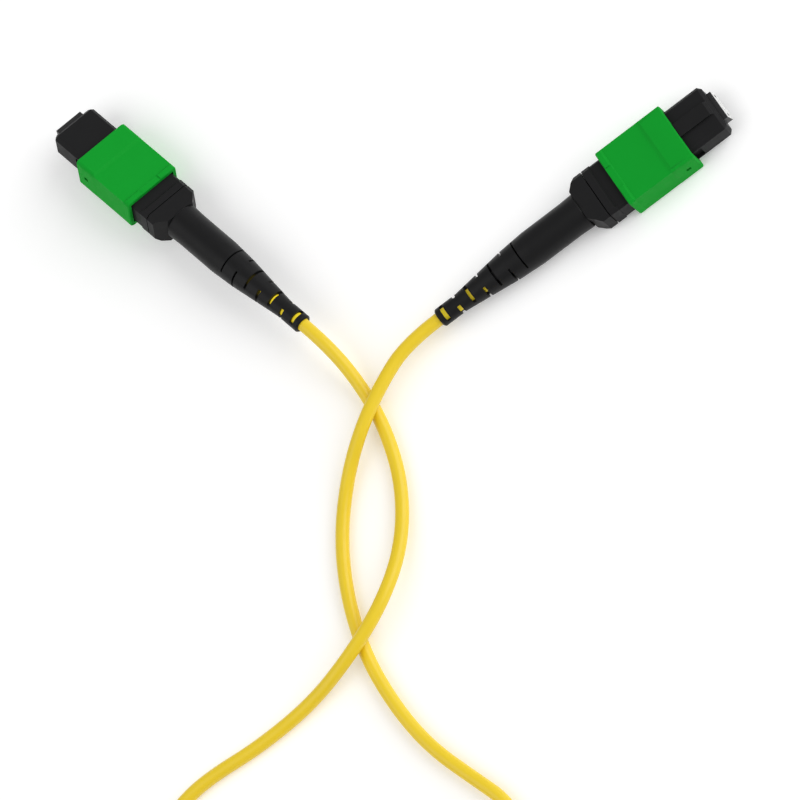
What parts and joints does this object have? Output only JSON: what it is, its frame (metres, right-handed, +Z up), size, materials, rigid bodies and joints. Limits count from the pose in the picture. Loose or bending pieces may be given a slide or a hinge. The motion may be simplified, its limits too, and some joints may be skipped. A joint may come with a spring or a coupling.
{
  "type": "mpo fibre connector patch cord",
  "caption": "Multi-fibre push-on connectors with angled ferrules, green coupling sleeves and slotted boots, joined by a round yellow cord that crosses itself.",
  "frame": {"origin": "on the surface that the set lies on, below the middle of the box round the two connectors without their cord", "axes": "+X runs forward along connector A, whose key faces +Z; +Z is up"},
  "size_m": [0.1798, 0.1882, 0.0118],
  "materials": {
    "ferrule": "moulded glass-filled black, end face polished pale",
    "soft_rubber": "soft elastomer",
    "keeper_plastic": "plain moulded",
    "spring_steel": "bright drawn wire",
    "housing_plastic": "fine satin moulding",
    "sleeve_plastic": "green satin moulding",
    "rear_plastic": "fine satin moulding",
    "aramid": "loose straw-coloured yarn",
    "crimp_metal": "crimped soft metal",
    "boot_plastic": "flexible satin moulding",
    "jacket": "smooth yellow extruded jacket",
    "fibre_coating": "coated glass fibres",
    "tie_fabric": "woven hook-and-loop strap"
  },
  "bodies": {
    "cord_assembly": {"main_spring_a": "spring_steel", "inner_housing_a": "housing_plastic", "return_springs_a": "spring_steel", "rear_body_a": "rear_plastic", "aramid_yarn_a": "aramid", "crimp_sleeve_a": "crimp_metal", "boot_a": "boot_plastic", "jacket_end_a": "jacket", "main_spring_b": "spring_steel", "inner_housing_b": "housing_plastic", "return_springs_b": "spring_steel", "rear_body_b": "rear_plastic", "aramid_yarn_b": "aramid", "crimp_sleeve_b": "crimp_metal", "boot_b": "boot_plastic", "jacket_end_b": "jacket", "cord_run_a": "jacket", "cord_run_b": "jacket", "cord_coil": "jacket", "coil_tie": "tie_fabric"},
    "ferrule_a": {"ferrule_a": "ferrule", "ferrule_boot_a": "soft_rubber", "pin_keeper_a": "keeper_plastic", "fibre_ribbon_a": "fibre_coating"},
    "sleeve_a": {"coupling_sleeve_a": "sleeve_plastic"},
    "ferrule_b": {"ferrule_b": "ferrule", "ferrule_boot_b": "soft_rubber", "pin_keeper_b": "keeper_plastic", "fibre_ribbon_b": "fibre_coating"},
    "sleeve_b": {"coupling_sleeve_b": "sleeve_plastic"}
  },
  "joints": [
    {"name": "sleeve_a_pull", "type": "slide", "parent": "cord_assembly", "child": "sleeve_a", "axis": [-1, 0, 0], "range_m": [0, 0.0016], "stiffness_N_per_m": 400, "springref_m": -0.0003, "deforming": ["return_springs_a"]},
    {"name": "ferrule_a_float", "type": "slide", "parent": "cord_assembly", "child": "ferrule_a", "axis": [-1, 0, 0], "range_m": [0, 0.0008], "stiffness_N_per_m": 2000, "deforming": ["main_spring_a", "fibre_ribbon_a"]},
    {"name": "sleeve_b_pull", "type": "slide", "parent": "cord_assembly", "child": "sleeve_b", "axis": [0.2588, -0.9659, 0], "range_m": [0, 0.0016], "stiffness_N_per_m": 400, "springref_m": -0.0003, "deforming": ["return_springs_b"]},
    {"name": "ferrule_b_float", "type": "slide", "parent": "cord_assembly", "child": "ferrule_b", "axis": [0.2588, -0.9659, 0], "range_m": [0, 0.0008], "stiffness_N_per_m": 2000, "deforming": ["main_spring_b", "fibre_ribbon_b"]}
  ]
}
